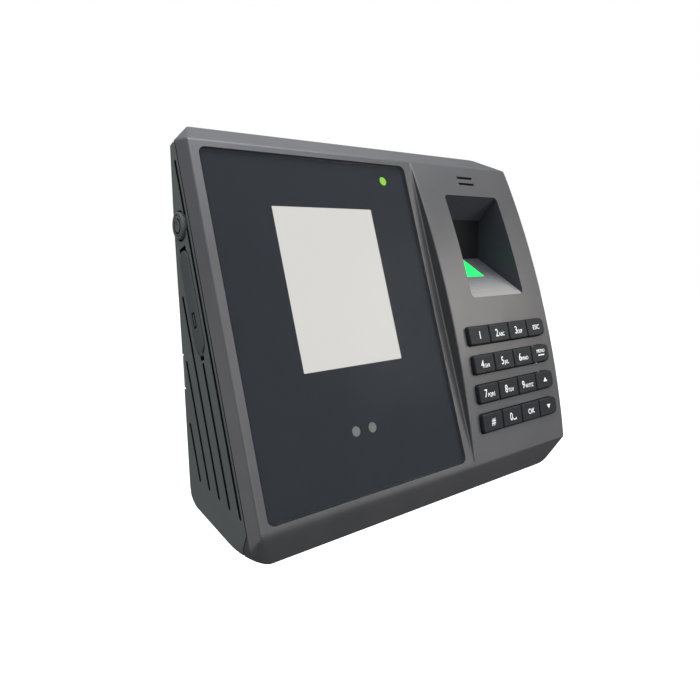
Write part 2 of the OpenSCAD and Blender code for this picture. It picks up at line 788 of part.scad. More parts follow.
module wall_plate() {
    color("#9a9da0") difference() {
        union() {
            block([-plate_w / 2, -plate_t, -plate_h / 2], [plate_w / 2, 0, plate_h / 2]);
            block([side_x + 0.3, -plate_t, ear_z[0]], [-side_x - 0.3, 0, ear_z[1]]);
            block([-tongue_w / 2, -plate_t, tongue_z], [tongue_w / 2, 0, -plate_h / 2 + 1]);
            block([-tongue_w / 2, -9, tongue_z], [tongue_w / 2, -plate_t + e, tongue_z + plate_t]);
            for (s = [-1, 1]) {
                block([s * hook_x - 4, -5.6, hook_z], [s * hook_x + 4, -plate_t + e, hook_z + 1.2]);
                block([s * hook_x - 4, -5.6, hook_z], [s * hook_x + 4, -4.4, hook_z + 4]);
            }
        }
        for (i = [-1, 1], j = [-1, 1])
            translate([i * hole_dx / 2, -5, j * hole_dz / 2]) rotate([-90, 0, 0]) cylinder(r = hole_r, h = 10);
        block([cable_x[0], -5, cable_z[0]], [cable_x[1], 5, cable_z[1]]);
        translate([0, lock_y, tongue_z - 1]) cylinder(r = 1.55, h = 4);
    }
}

module locking_screw() {
    color("#8f9296") translate([0, lock_y, 0]) difference() {
        union() {
            translate([0, 0, -63.4]) cylinder(r = 2.8, h = 1.5);
            translate([0, 0, -61.9 - e]) cylinder(r = 1.5, h = 10.4);
        }
        translate([0, 0, -64]) cylinder(r = 1.1, h = 1.5, $fn = 6);
    }
}

front_housing();
rear_housing();
front_glass();
glass_mask();
lcd_panel();
lcd_frame();
light_pipe();
sensor_windows();
proximity_sensors();
indicator_board();
card_antenna();
finger_guide();
sensor_prism();
sensor_lens();
sensor_board();
sensor_ribbon();
keypad_membrane();
keypad_board();
keypad_screws();
keypad_ribbon();
key(0);  // key_1
key(1);  // key_2
key(2);  // key_3
key(3);  // key_esc
key(4);  // key_4
key(5);  // key_5
key(6);  // key_6
key(7);  // key_menu
key(8);  // key_7
key(9);  // key_8
key(10);  // key_9
key(11);  // key_up
key(12);  // key_hash
key(13);  // key_0
key(14);  // key_ok
key(15);  // key_down
speaker();
speaker_mesh();
main_board();
board_screws();
display_ribbon();
coin_cell();
power_button();
power_switch();
usb_port();
usb_cover();
interface_board();
network_jack();
terminal_block();
power_jack();
tamper_switch();
tamper_plunger();
wall_plate();
housing_screws();
locking_screw();
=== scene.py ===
"""Looks of the wall-mounted fingerprint terminal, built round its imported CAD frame."""

from math import cos, pi, radians, sin, sqrt

import bmesh
import bpy
from mathutils import Matrix, Vector
from mathutils.bvhtree import BVHTree


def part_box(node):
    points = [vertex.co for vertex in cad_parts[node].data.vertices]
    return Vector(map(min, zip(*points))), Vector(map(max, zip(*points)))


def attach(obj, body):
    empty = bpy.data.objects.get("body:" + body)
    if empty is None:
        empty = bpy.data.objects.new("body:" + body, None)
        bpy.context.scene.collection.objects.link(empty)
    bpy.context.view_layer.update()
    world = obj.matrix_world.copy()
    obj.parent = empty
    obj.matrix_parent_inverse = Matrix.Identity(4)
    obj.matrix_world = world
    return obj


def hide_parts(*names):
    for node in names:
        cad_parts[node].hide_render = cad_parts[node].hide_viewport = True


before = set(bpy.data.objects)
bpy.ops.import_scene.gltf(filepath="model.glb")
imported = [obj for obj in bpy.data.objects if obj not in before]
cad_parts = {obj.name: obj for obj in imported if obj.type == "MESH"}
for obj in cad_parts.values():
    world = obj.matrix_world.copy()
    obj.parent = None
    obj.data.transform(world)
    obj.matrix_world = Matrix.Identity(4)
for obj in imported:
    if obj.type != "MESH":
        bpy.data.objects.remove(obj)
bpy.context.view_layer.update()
scene = bpy.context.scene
MM = 0.001

# Sizes that part.scad also has, in millimetres, in the tilted face's frame:
# X to the right, Y up the face, Z out of it
LEAN = radians(18)
CENTRE_DEPTH = 28
FACE_W = 153.8
BEVEL_SIDE = 2.4
FACE_H = 124
BULGE_H = 4.9
SIDE_X0 = 16.9
SIDE_CX = (SIDE_X0 + FACE_W / 2) / 2
BULGE_R = ((FACE_H / 2) ** 2 + BULGE_H**2) / (2 * BULGE_H)
KEY_PROUD = 1.8
KEY_PITCH = (12.25, 11.55)
KEY_W, KEY_H = 11.8, 7.4
KEY_Y0 = -12.4
KEY_BOTTOM = -2.4
KEY_END_R, KEY_R = (1.0, 2.4), 0.6
SIDE_X = -(FACE_W / 2 + BEVEL_SIDE)
BUTTON = (37.8, -11.85)
BUTTON_R = 4.4
BUTTON_PROUD = 1.0
COVER_PROUD = 0.4
RAMP_Y0 = 3.2
POCKET_Y1 = 48
POCKET_CX = SIDE_CX + 0.5
POCKET_W = 33.3
RAMP_ANGLE = radians(42.5)
SEAM_Z = -4.2

# The drawn pane's back face, a hair in front of the mask
PANE_BACK = -1.45
# Middle of the engraved mark on the cover
MARK = (7.1, -13.3)

# Limits used while edges are rounded, in metres and radians
WELD = 2e-6
FLAT_TURN = radians(0.03)
SPARE_R = 0.9 * MM
BIG_FACE = 400 * MM * MM

# The camera's place, and its axes before they are squared up
LENS, SENSOR = 30.28, 36
CAMERA_AT = (-0.1532, -0.1907, 0.0250)
CAMERA_FORWARD = (0.598, 0.783, -0.1715)
CAMERA_RIGHT = (0.794, -0.608, -0.0097)


def panel(x, y, z):
    """A point of the tilted face's frame, in row metres."""
    return Vector(
        (
            x,
            sin(LEAN) * y - cos(LEAN) * z - CENTRE_DEPTH,
            cos(LEAN) * y + sin(LEAN) * z,
        )
    ) * MM


def to_panel(point):
    """The tilted face's frame again, in millimetres, from a point in row metres."""
    y, z = point.y / MM + CENTRE_DEPTH, point.z / MM
    return Vector(
        (
            point.x / MM,
            sin(LEAN) * y + cos(LEAN) * z,
            sin(LEAN) * z - cos(LEAN) * y,
        )
    )


def face_z(y, over=0.0):
    """Height of the bulged side's surface over the face at y, plus over."""
    return BULGE_H - BULGE_R + sqrt((BULGE_R + over) ** 2 - y * y)


# ---------- camera ----------


def add_camera():
    cam = bpy.data.cameras.new("camera")
    cam.lens = LENS
    cam.sensor_width = SENSOR
    cam.clip_start = 0.01
    obj = bpy.data.objects.new("camera", cam)
    scene.collection.objects.link(obj)
    forward = Vector(CAMERA_FORWARD).normalized()
    right = Vector(CAMERA_RIGHT)
    right = (right - forward * right.dot(forward)).normalized()
    up = right.cross(forward)
    turn = Matrix((right, up, -forward)).transposed().to_4x4()
    obj.matrix_world = Matrix.Translation(CAMERA_AT) @ turn
    scene.camera = obj


add_camera()

# ---------- materials ----------


def set_range(node, low, high, out_low, out_high):
    """Fills in a Map Range node."""
    for key, value in zip(
        ("From Min", "From Max", "To Min", "To Max"), (low, high, out_low, out_high)
    ):
        node.inputs[key].default_value = value


class Nodes:
    """A small writer of node materials."""

    SOCKETS = {
        "color": "Base Color",
        "rough": "Roughness",
        "metal": "Metallic",
        "spec": "Specular IOR Level",
        "normal": "Normal",
        "glow": "Emission Color",
        "glow_power": "Emission Strength",
        "alpha": "Alpha",
    }

    def __init__(self, name):
        self.mat = bpy.data.materials.new(name)
        self.mat.use_nodes = True
        self.tree = self.mat.node_tree
        self.bsdf = self.tree.nodes["Principled BSDF"]
        self.where = self.add("ShaderNodeTexCoord").outputs["Object"]

    def add(self, kind, **values):
        node = self.tree.nodes.new(kind)
        for key, value in values.items():
            setattr(node, key, value)
        return node

    def link(self, a, b):
        self.tree.links.new(a, b)

    def noise(self, scale, detail, where=None):
        node = self.add("ShaderNodeTexNoise")
        node.inputs["Scale"].default_value = scale
        node.inputs["Detail"].default_value = detail
        self.link(where or self.where, node.inputs["Vector"])
        return node.outputs["Fac"]

    def span(self, fac, low, high, out_low, out_high):
        node = self.add("ShaderNodeMapRange")
        set_range(node, low, high, out_low, out_high)
        self.link(fac, node.inputs["Value"])
        return node.outputs["Result"]

    def spread(self, fac, out_low, out_high):
        """A noise, which keeps near its middle, spread from out_low to out_high."""
        return self.span(fac, 0.3, 0.7, out_low, out_high)

    def mix(self, fac, a, b):
        node = self.add("ShaderNodeMix", data_type="RGBA")
        self.link(fac, node.inputs["Factor"])
        for socket, value in zip((node.inputs[6], node.inputs[7]), (a, b)):
            if isinstance(value, tuple):
                socket.default_value = (*value, 1)
            else:
                self.link(value, socket)
        return node.outputs[2]

    def bump(self, height, distance):
        node = self.add("ShaderNodeBump")
        node.inputs["Strength"].default_value = 1.0
        node.inputs["Distance"].default_value = distance
        self.link(height, node.inputs["Height"])
        return node.outputs["Normal"]

    def set(self, **values):
        """Sets or links the shader's sockets, and gives the finished material."""
        for key, value in values.items():
            socket = self.bsdf.inputs[self.SOCKETS[key]]
            if isinstance(value, bpy.types.NodeSocket):
                self.link(value, socket)
            elif isinstance(value, tuple):
                socket.default_value = (*value, 1)
            else:
                socket.default_value = value
        return self.mat


def grained(name, dark, light, grain=7000, depth=0.00002, rough=(0.4, 0.5), cloud=60, **more):
    """Moulded or painted surface: fine grain, a slow drift of colour, and matching roughness."""
    n = Nodes(name)
    fine = n.noise(grain, 3)
    slow = n.noise(cloud, 2)
    colour = n.mix(n.spread(fine, 0, 1), dark, light)
    pale = tuple(min(1, c * 1.6) for c in light)
    drift = n.mix(n.span(slow, 0.35, 0.65, 0.0, 0.10), colour, pale)
    return n.set(color=drift, rough=n.spread(fine, *rough), normal=n.bump(fine, depth), **more)


def metal(name, dark, light, rough=(0.22, 0.4), stretch=(1, 1, 1), scale=900):
    """Plated or brushed metal with fine streaks."""
    n = Nodes(name)
    mapping = n.add("ShaderNodeMapping")
    mapping.inputs["Scale"].default_value = stretch
    n.link(n.where, mapping.inputs["Vector"])
    streak = n.noise(scale, 4, where=mapping.outputs["Vector"])
    cloud = n.noise(120, 2)
    colour = n.mix(n.spread(cloud, 0, 1), dark, light)
    return n.set(
        color=colour,
        metal=1.0,
        rough=n.spread(streak, *rough),
        normal=n.bump(streak, 0.00001),
    )


PAINT = grained(
    "front_paint", (0.070, 0.0705, 0.0745), (0.105, 0.1055, 0.111), grain=9000, depth=0.000012,
    rough=(0.36, 0.46), metal=0.55, spec=0.5,
)
SHELL = grained(
    "rear_shell", (0.078, 0.089, 0.088), (0.102, 0.115, 0.113), grain=5200, depth=0.00003,
    rough=(0.5, 0.62),
)
BUTTON_MAT = grained(
    "button_plastic", (0.062, 0.072, 0.066), (0.084, 0.095, 0.087), grain=5200, depth=0.00002,
    rough=(0.45, 0.55),
)
COVER_MAT = grained(
    "cover_rubber", (0.045, 0.052, 0.054), (0.06, 0.068, 0.070), grain=4200, depth=0.00003,
    rough=(0.55, 0.7),
)
KEY_MAT = grained(
    "key_rubber", (0.0075, 0.0092, 0.0120), (0.0105, 0.0125, 0.0158), grain=6500, depth=0.00001,
    rough=(0.5, 0.62), spec=0.25,
)
GUIDE = grained(
    "guide_plastic", (0.040, 0.038, 0.052), (0.050, 0.048, 0.064), grain=6000, depth=0.00002,
    rough=(0.45, 0.55), spec=0.35,
)
BLACK = grained(
    "black_plastic", (0.012, 0.012, 0.013), (0.02, 0.02, 0.022), grain=5000, rough=(0.4, 0.55)
)
MASK = grained(
    "mask_print", (0.0320, 0.0362, 0.0435), (0.0335, 0.0378, 0.0452), grain=2500, depth=0.000001,
    rough=(0.5, 0.55), spec=0.1,
)
LEGEND = grained(
    "legend_ink", (0.78, 0.79, 0.79), (0.86, 0.87, 0.87), grain=9000, depth=0.000004,
    rough=(0.5, 0.6),
)
BOARD = grained(
    "board_green", (0.02, 0.12, 0.045), (0.03, 0.16, 0.06), grain=1500, depth=0.00001,
    rough=(0.3, 0.45), cloud=400,
)
FLEX = grained(
    "flex_cable", (0.5, 0.3, 0.08), (0.58, 0.37, 0.11), grain=2500, depth=0.00001,
    rough=(0.3, 0.4),
)
MEMBRANE = grained(
    "membrane_grey", (0.24, 0.25, 0.26), (0.29, 0.3, 0.31), grain=3000, rough=(0.6, 0.7)
)
GREEN_BLOCK = grained(
    "terminal_green", (0.03, 0.2, 0.08), (0.04, 0.25, 0.1), grain=3000, rough=(0.35, 0.5)
)
RED = grained("plunger_red", (0.42, 0.04, 0.03), (0.5, 0.055, 0.04), grain=3000)
MESH_CLOTH = grained(
    "speaker_cloth", (0.006, 0.006, 0.007), (0.02, 0.02, 0.022), grain=2500, depth=0.0001,
    rough=(0.8, 0.9),
)
STEEL = metal("plated_steel", (0.5, 0.51, 0.52), (0.62, 0.63, 0.64))
ZINC = metal("zinc_plate", (0.52, 0.53, 0.55), (0.58, 0.59, 0.61), (0.32, 0.48), (1, 1, 0.06), 2600)
SCREW = metal("screw_steel", (0.3, 0.3, 0.31), (0.42, 0.42, 0.43), (0.25, 0.4))


def clear_glass():
    """A thin smoked pane: most of the light passes straight through it."""
    n = Nodes("front_glass")
    tint = n.mix(n.noise(25, 1), (0.0330, 0.0375, 0.0445), (0.0340, 0.0387, 0.0457))
    return n.set(color=tint, rough=0.16, spec=0.03, alpha=0.3)


def ramp_painted_light_and_shade():
    """The ramp under the finger: a light grey at the lip fades up the ramp into the dark plastic
    above it, painted light falling on the lip and painted shade deeper in the pocket.
    """
    n = Nodes("ramp_painted_light_and_shade")
    # Where the painted light at the lip fades into painted shade, measured along the ramp, and how
    # uneven that edge is
    shade_start, shade_end, edge_jitter = 0.004, 0.018, 0.0012
    angle = LEAN + RAMP_ANGLE
    lip = panel(0, RAMP_Y0, face_z(RAMP_Y0))
    up = Vector((0, sin(angle), cos(angle)))
    along = n.add("ShaderNodeVectorMath", operation="DOT_PRODUCT")
    n.link(n.where, along.inputs[0])
    along.inputs[1].default_value = up
    start = lip.dot(up)
    edge = n.spread(n.noise(500, 3), -edge_jitter, edge_jitter)
    shifted = n.add("ShaderNodeMath", operation="ADD")
    n.link(along.outputs["Value"], shifted.inputs[0])
    n.link(edge, shifted.inputs[1])
    fade = n.span(shifted.outputs[0], start + shade_start, start + shade_end, 0, 1)
    fine = n.noise(9000, 3)
    # The lit and the shaded ends of the painted light and shade; the lit grey is lighter than the
    # housing's own paint
    painted = n.mix(n.spread(fine, 0, 1), (0.20, 0.20, 0.20), (0.24, 0.24, 0.24))
    shaded_plastic = n.mix(n.spread(fine, 0, 1), (0.055, 0.056, 0.068), (0.07, 0.072, 0.085))
    return n.set(
        color=n.mix(fade, painted, shaded_plastic), rough=n.spread(fine, 0.4, 0.5),
        normal=n.bump(fine, 0.000012),
    )


def lit_display():
    """The lit panel: a faint grid of picture elements."""
    n = Nodes("lit_display")
    pitch = n.add("ShaderNodeTexBrick", offset=0.0)
    dot, gap = 0.00018, 0.000008
    for key, value in {
        "Scale": 1.0,
        "Brick Width": dot,
        "Row Height": dot,
        "Mortar Size": gap,
        "Color1": (0.70, 0.69, 0.655, 1),
        "Color2": (0.71, 0.70, 0.66, 1),
        "Mortar": (0.66, 0.65, 0.62, 1),
    }.items():
        pitch.inputs[key].default_value = value
    turn = n.add("ShaderNodeMapping")
    turn.inputs["Rotation"].default_value = (LEAN - pi / 2, 0, 0)
    n.link(n.where, turn.inputs["Vector"])
    n.link(turn.outputs["Vector"], pitch.inputs["Vector"])
    return n.set(
        color=(0.02, 0.02, 0.02),
        rough=0.5,
        glow=pitch.outputs["Color"],
        glow_power=1.9,
        normal=n.bump(n.noise(3000, 2), 0.000001),
    )


def lamp(name, colour, power, body):
    """A lit clear part: its glow has a slight mottle."""
    n = Nodes(name)
    mottle = n.mix(n.noise(900, 2), tuple(c * 0.94 for c in colour), colour)
    return n.set(color=body, rough=0.15, glow=mottle, glow_power=power)


DISPLAY = lit_display()
LED = lamp("status_light", (0.25, 0.56, 0.03), 2.3, (0.02, 0.08, 0.01))
PRISM = lamp("lit_prism", (0.02, 1.0, 0.165), 0.8, (0.02, 0.45, 0.09))
DOT = grained(
    "smoked_window", (0.44, 0.47, 0.44), (0.49, 0.52, 0.49), grain=2000, depth=0.000002,
    rough=(0.2, 0.3),
)
GLASS = clear_glass()
# The ramp's colour holds painted light at the lip and painted shade deeper in the pocket
RAMP = ramp_painted_light_and_shade()
# Painted shade: a near-black put on faces deep in slots, seams, grooves and the pocket's back,
# where shade falls
SHADOW = grained(
    "painted_shade_plastic", (0.006, 0.007, 0.008), (0.01, 0.011, 0.012), grain=4000, rough=(0.7, 0.8),
    spec=0.1,
)

FINISH = {
    PAINT: "front_housing",
    SHELL: "rear_housing",
    BUTTON_MAT: "power_button",
    COVER_MAT: "usb_cover",
    GUIDE: "finger_guide",
    MASK: "glass_mask",
    DISPLAY: "lcd_panel",
    LED: "light_pipe",
    PRISM: "sensor_prism",
    DOT: "sensor_windows",
    BLACK: "proximity_sensors sensor_lens power_jack power_switch tamper_switch speaker",
    BOARD: "indicator_board card_antenna sensor_board keypad_board main_board interface_board",
    FLEX: "sensor_ribbon keypad_ribbon display_ribbon",
    MEMBRANE: "keypad_membrane",
    MESH_CLOTH: "speaker_mesh",
    GREEN_BLOCK: "terminal_block",
    RED: "tamper_plunger",
    STEEL: "lcd_frame usb_port network_jack coin_cell",
    ZINC: "wall_plate",
    SCREW: "keypad_screws board_screws housing_screws locking_screw",
}


def dress(obj, mat):
    obj.data.materials.clear()
    obj.data.materials.append(mat)


for material, names in FINISH.items():
    for node_name in names.split():
        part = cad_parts[node_name]
        for place in part.material_slots:
            place.material = material
for node_name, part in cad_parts.items():
    if node_name.startswith("key_"):
        for place in part.material_slots:
            place.material = KEY_MAT

# ---------- mesh helpers ----------


def new_object(name, mesh, mat):
    obj = bpy.data.objects.new(name, mesh)
    scene.collection.objects.link(obj)
    dress(obj, mat)
    return obj


def bridge(bm, a, b):
    """Faces between two loops with the same number of vertices."""
    count = len(a)
    for i in range(count):
        j = (i + 1) % count
        bm.faces.new((a[i], a[j], b[j], b[i]))


def to_mesh(bm, name):
    """A mesh made from bm, which is freed."""
    mesh = bpy.data.meshes.new(name)
    bm.to_mesh(mesh)
    bm.free()
    return mesh


def solid(bm, name, mat):
    """An object made from bm, with its faces turned outwards."""
    bmesh.ops.recalc_face_normals(bm, faces=bm.faces)
    return new_object(name, to_mesh(bm, name), mat)


def rectangle(x0, y0, x1, y1):
    return [(x0, y0), (x1, y0), (x1, y1), (x0, y1)]


def baked(obj):
    """Applies obj's modifiers to its mesh."""
    graph = bpy.context.evaluated_depsgraph_get()
    mesh = bpy.data.meshes.new_from_object(obj.evaluated_get(graph))
    obj.modifiers.clear()
    obj.data = mesh
    return obj


def shade(obj, angle=30):
    """Smooth shading, with edges sharper than angle kept sharp."""
    bm = bmesh.new()
    bm.from_mesh(obj.data)
    for face in bm.faces:
        face.smooth = True
    for edge in bm.edges:
        edge.smooth = not (
            len(edge.link_faces) == 2 and edge.calc_face_angle(0) > radians(angle)
        )
    bm.to_mesh(obj.data)
    bm.free()
    return obj


def sharp_edges(bm, angle, where, spared):
    """Edges of bm that turn by more than angle, pass the test, and aren't near a spared point."""
    picked = []
    for edge in bm.edges:
        if len(edge.link_faces) != 2 or edge.calc_face_angle(0) < radians(angle):
            continue
        if not where(to_panel((edge.verts[0].co + edge.verts[1].co) / 2)):
            continue
        if any((v.co - p).length < SPARE_R for v in edge.verts for p in spared):
            continue
        picked.append(edge)
    return picked


def rounded(bm, surface, where, width, segments, angle, slack):
    """bm with the edges that pass the test rounded. Where rounding one would throw a point
    further than slack off the surface, the edges near it stay sharp."""
    spared = []
    for _ in range(8):
        trial = bm.copy()
        edges = sharp_edges(trial, angle, where, spared)
        if not edges:
            break
        made = bmesh.ops.bevel(
            trial, geom=edges, offset=width, offset_type="OFFSET", segments=segments,
            profile=0.5, affect="EDGES", clamp_overlap=False, miter_outer="ARC",
        )
        far = {v for v in made["verts"] if v.is_valid and surface.find_nearest(v.co)[3] > slack}
        if not far:
            break
        roots = {e.other_vert(v) for v in far for e in v.link_edges} - far
        spared += [surface.find_nearest(v.co)[0] for v in roots]
        near = [surface.find_nearest(v.co) for v in far]
        spared += [hit[0] for hit in near if hit[3] < width * 2]
        trial.free()
    bm.free()
    return trial


def soft_copy(node, name, mat, passes, angle=22):
    """A copy of a CAD node's mesh with its edges rounded, which stands for the node.
    Each pass is a test of an edge's middle, a width in millimetres and a number of segments."""
    bm = bmesh.new()
    bm.from_mesh(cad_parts[node].data)
    bmesh.ops.remove_doubles(bm, verts=bm.verts, dist=WELD)
    flat = [
        e for e in bm.edges
        if not all(on_bulge(f.calc_center_median(), f.normal) for f in e.link_faces)
    ]
    verts = list({v for e in flat for v in e.verts})
    bmesh.ops.dissolve_limit(bm, angle_limit=FLAT_TURN, verts=verts, edges=flat)
    surface = BVHTree.FromBMesh(bm)
    slack = 0
    for where, width, segments in passes:
        slack = max(slack, width * MM * 0.75)
        bm = rounded(bm, surface, where, width * MM, segments, angle, slack)
    low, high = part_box(node)
    for vert in bm.verts:
        vert.co = [min(max(c, a), b) for c, a, b in zip(vert.co, low, high)]
    bmesh.ops.triangulate(bm, faces=[f for f in bm.faces if len(f.verts) > 4])
    obj = shade(new_object(name, to_mesh(bm, name), mat), 35)
    weighted = obj.modifiers.new("weighted", "WEIGHTED_NORMAL")
    weighted.keep_sharp = True
    baked(obj)
    dress(obj, mat)
    true_normals(obj.data)
    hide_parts(node)
    return obj


def on_bulge(middle, normal):
    """Whether a face, given in row metres, lies on the cylinder of the keypad side."""
    p = to_panel(middle)
    near = p.z > 0.05 and abs(p.z - face_z(p.y)) < 0.12
    return near and SIDE_X0 < p.x and abs(normal.x) < 0.1


def facing(face):
    return tuple(round(c, 3) for c in face.normal)


def true_normals(mesh):
    """Gives the large flat faces their own normals, and the bulge those of its cylinder."""
    spread = {}
    for face in mesh.polygons:
        spread[facing(face)] = spread.get(facing(face), 0) + face.area
    normals = [Vector(n.vector) for n in mesh.corner_normals]
    axis = panel(0, 0, BULGE_H - BULGE_R)
    for face in mesh.polygons:
        if on_bulge(face.center, face.normal):
            for i in face.loop_indices:
                out = mesh.vertices[mesh.loops[i].vertex_index].co - axis
                out.x = 0
                normals[i] = out.normalized()
        elif spread[facing(face)] > BIG_FACE:
            for i in face.loop_indices:
                normals[i] = face.normal.copy()
    mesh.normals_split_custom_set(normals)


def face_finishes(obj, *pairs):
    """Gives each material to the faces that pass its test of middle and normal, in the panel
    frame."""
    origin = to_panel(Vector())
    for mat, _ in pairs:
        obj.data.materials.append(mat)
    for face in obj.data.polygons:
        middle, normal = to_panel(face.center), to_panel(face.normal * MM) - origin
        passed = [i for i, pair in enumerate(pairs) if pair[1](middle, normal)]
        face.material_index = passed[0] + 1 if passed else 0


# ---------- housings ----------

# Where roundings and finishes start and end, in the face's frame
RIM_X, RIM_Y = 76.2, 61
RIDGE_Y, RIDGE_Z, RIDGE_END = -60.5, -1.5, 74
SIDE_IN, SIDE_FLOOR = 76.6, 77.9
SIDE_LOW, SIDE_HIGH = -58, 60
# Depths in front of the wall, in metres
WALL_EDGE, WALL_FACES, POCKET_BACK = -0.6 * MM, -1.5 * MM, -9 * MM


# Tests of an edge's middle


def anywhere(p):
    return True


def display_side(p):
    return p.x < SIDE_X0 - 1 or p.z < 0


def bottom_ridge(p):
    return p.y < RIDGE_Y and p.z > RIDGE_Z and p.x < RIDGE_END


def outer_ridge(p):
    sides = abs(p.x) > RIM_X or abs(p.y) > RIM_Y
    return p.z > SEAM_Z + 0.6 and (sides or abs(p.x - SIDE_X0) < 0.3)


def back_edge(p):
    return panel(*p).y > WALL_EDGE


# Tests of a face's middle and normal


def inside_wall(p, normal):
    """Walls of the slots and side pockets, and the faces in the seam, which take painted shade."""
    sunk = SIDE_IN < abs(p.x) < abs(SIDE_X) - 0.12 and SIDE_LOW < p.y < SIDE_HIGH
    behind_seam = p.z < SEAM_Z - 1 and panel(*p).y < WALL_FACES
    wall = abs(normal.x) < 0.1
    floor = abs(p.x) < SIDE_FLOOR and abs(normal.x) > 0.9
    in_seam = abs(p.z - SEAM_Z) < 0.62 and abs(normal.z) > 0.9
    return (sunk and behind_seam and (wall or floor)) or in_seam


def in_mouth(p):
    across = abs(p.x - POCKET_CX) < POCKET_W / 2 + 0.1
    return across and RAMP_Y0 - 0.4 < p.y < POCKET_Y1 + 0.1 and 0 < p.z < face_z(p.y) - 0.12


def on_ramp(p, normal):
    return normal.y > 0.6 and normal.z > 0.6


def ramp_lip(p, normal):
    return in_mouth(p) and on_ramp(p, normal)


def mouth_wall(p, normal):
    return in_mouth(p) and normal.z < 0.6


def pocket_end(p, normal):
    return panel(*p).y > POCKET_BACK


front = soft_copy(
    "front_housing", "front_shell_skin", PAINT,
    ((bottom_ridge, 1.4, 4), (outer_ridge, 0.5, 3), (display_side, 0.13, 2)),
)
# The lip takes the ramp's painted light and shade; slot, seam and side-pocket faces take painted
# shade
face_finishes(front, (RAMP, ramp_lip), (GUIDE, mouth_wall), (SHADOW, inside_wall))
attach(front, "terminal")
rear = soft_copy(
    "rear_housing", "rear_shell_skin", SHELL, ((back_edge, 0.5, 3), (anywhere, 0.12, 2))
)
# Slot and seam faces take painted shade
face_finishes(rear, (SHADOW, inside_wall))
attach(rear, "terminal")
pane = soft_copy("front_glass", "front_pane", GLASS, ((anywhere, 0.1, 2),))
for vertex in pane.data.vertices:
    local = to_panel(vertex.co)
    if local.z < PANE_BACK:
        vertex.co = panel(local.x, local.y, PANE_BACK)
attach(pane, "terminal")
mask = soft_copy("glass_mask", "mask_skin", MASK, ())
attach(mask, "terminal")
guide = soft_copy("finger_guide", "guide_skin", GUIDE, ())
# The guide's ramp takes the painted light and shade, its back wall painted shade
face_finishes(guide, (RAMP, on_ramp), (SHADOW, pocket_end))
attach(guide, "terminal")

# ---------- keys ----------

KEY_NAMES = "1 2 3 esc 4 5 6 menu 7 8 9 up hash 0 ok down".split()
# Segments of a corner in plan and of the rim, the rim's radius, and the dish: (inset, height)
ARC, RIM_ARC, RIM = 6, 4, 0.55
DISH = ((RIM + 0.35, -0.015), (RIM + 1.3, -0.06), (RIM + 2.2, -0.09))
MIN_CORNER = 0.12


def key_outline(col, inset):
    """The key's plan about its centre, moved in by inset: an end key's outer side is rounder."""
    left = KEY_END_R[0] if col == 0 else KEY_R
    right = KEY_END_R[1] if col == 3 else KEY_R
    points = []
    for sx, sy, r, start in (
        (1, 1, right, 0), (-1, 1, left, 90), (-1, -1, left, 180), (1, -1, right, 270),
    ):
        cx, cy = sx * (KEY_W / 2 - r), sy * (KEY_H / 2 - r)
        rr = max(r - inset, MIN_CORNER)
        shift = max(inset - (r - rr), 0)
        for i in range(ARC + 1):
            a = radians(start + 90 * i / ARC)
            points.append((cx - sx * shift + rr * cos(a), cy - sy * shift + rr * sin(a)))
    return points


def build_key(n):
    """A rubber key: straight sides, a rounded rim, and a slightly dished top along the bulge."""
    col, row = n % 4, n // 4
    px = SIDE_CX + (col - 1.5) * KEY_PITCH[0]
    py = KEY_Y0 - row * KEY_PITCH[1]
    rings = [(0.0, None), (0.0, -RIM)]
    for i in range(1, RIM_ARC + 1):
        a = radians(90 * i / RIM_ARC)
        rings.append((RIM * (1 - cos(a)), RIM * (sin(a) - 1)))
    rings += DISH
    bm = bmesh.new()
    loops = []
    for inset, drop in rings:
        loop = []
        for x, y in key_outline(col, inset):
            z = KEY_BOTTOM if drop is None else face_z(py + y, KEY_PROUD) + drop
            loop.append(bm.verts.new(panel(px + x, py + y, z)))
        loops.append(loop)
    for a, b in zip(loops, loops[1:]):
        bridge(bm, a, b)
    bm.faces.new(loops[-1])
    bm.faces.new(list(reversed(loops[0])))
    name = KEY_NAMES[n]
    obj = shade(solid(bm, f"keycap_{name}", KEY_MAT), 40)
    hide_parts(f"key_{name}")
    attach(obj, f"key_{name}")
    return px, py


def glyphs(words, height, squeeze):
    """Flat shapes of the words, cap height in millimetres: points, faces and width."""
    curve = bpy.data.curves.new("word", "FONT")
    curve.body = words
    curve.size = 1
    curve.resolution_u = 4
    curve.extrude = 0.5
    obj = bpy.data.objects.new("word", curve)
    scene.collection.objects.link(obj)
    graph = bpy.context.evaluated_depsgraph_get()
    mesh = bpy.data.meshes.new_from_object(obj.evaluated_get(graph))
    bpy.data.objects.remove(obj)
    points = [v.co.copy() for v in mesh.vertices]
    faces = [tuple(p.vertices) for p in mesh.polygons]
    bpy.data.meshes.remove(mesh)
    low_x = min(p.x for p in points)
    scale = height / max(p.y for p in points)
    for p in points:
        p.x = (p.x - low_x) * scale * squeeze
        p.y = p.y * scale
    width = max(p.x for p in points)
    return points, faces, width


def poly(points):
    """A flat shape from a list of corners, as glyphs() gives it."""
    n = len(points)
    low = min(p[0] for p in points)
    made = [Vector((x - low, y, -0.5)) for x, y in points]
    made += [Vector((x - low, y, 0.5)) for x, y in points]
    faces = [tuple(reversed(range(n))), tuple(range(n, 2 * n))]
    faces += [(i, (i + 1) % n, n + (i + 1) % n, n + i) for i in range(n)]
    return made, faces, max(p.x for p in made)


# The print's height over and depth under the key's top, and its shift to the right
INK_TOP, INK_FOOT, INK_SHIFT = 0.03, -0.11, 0.1


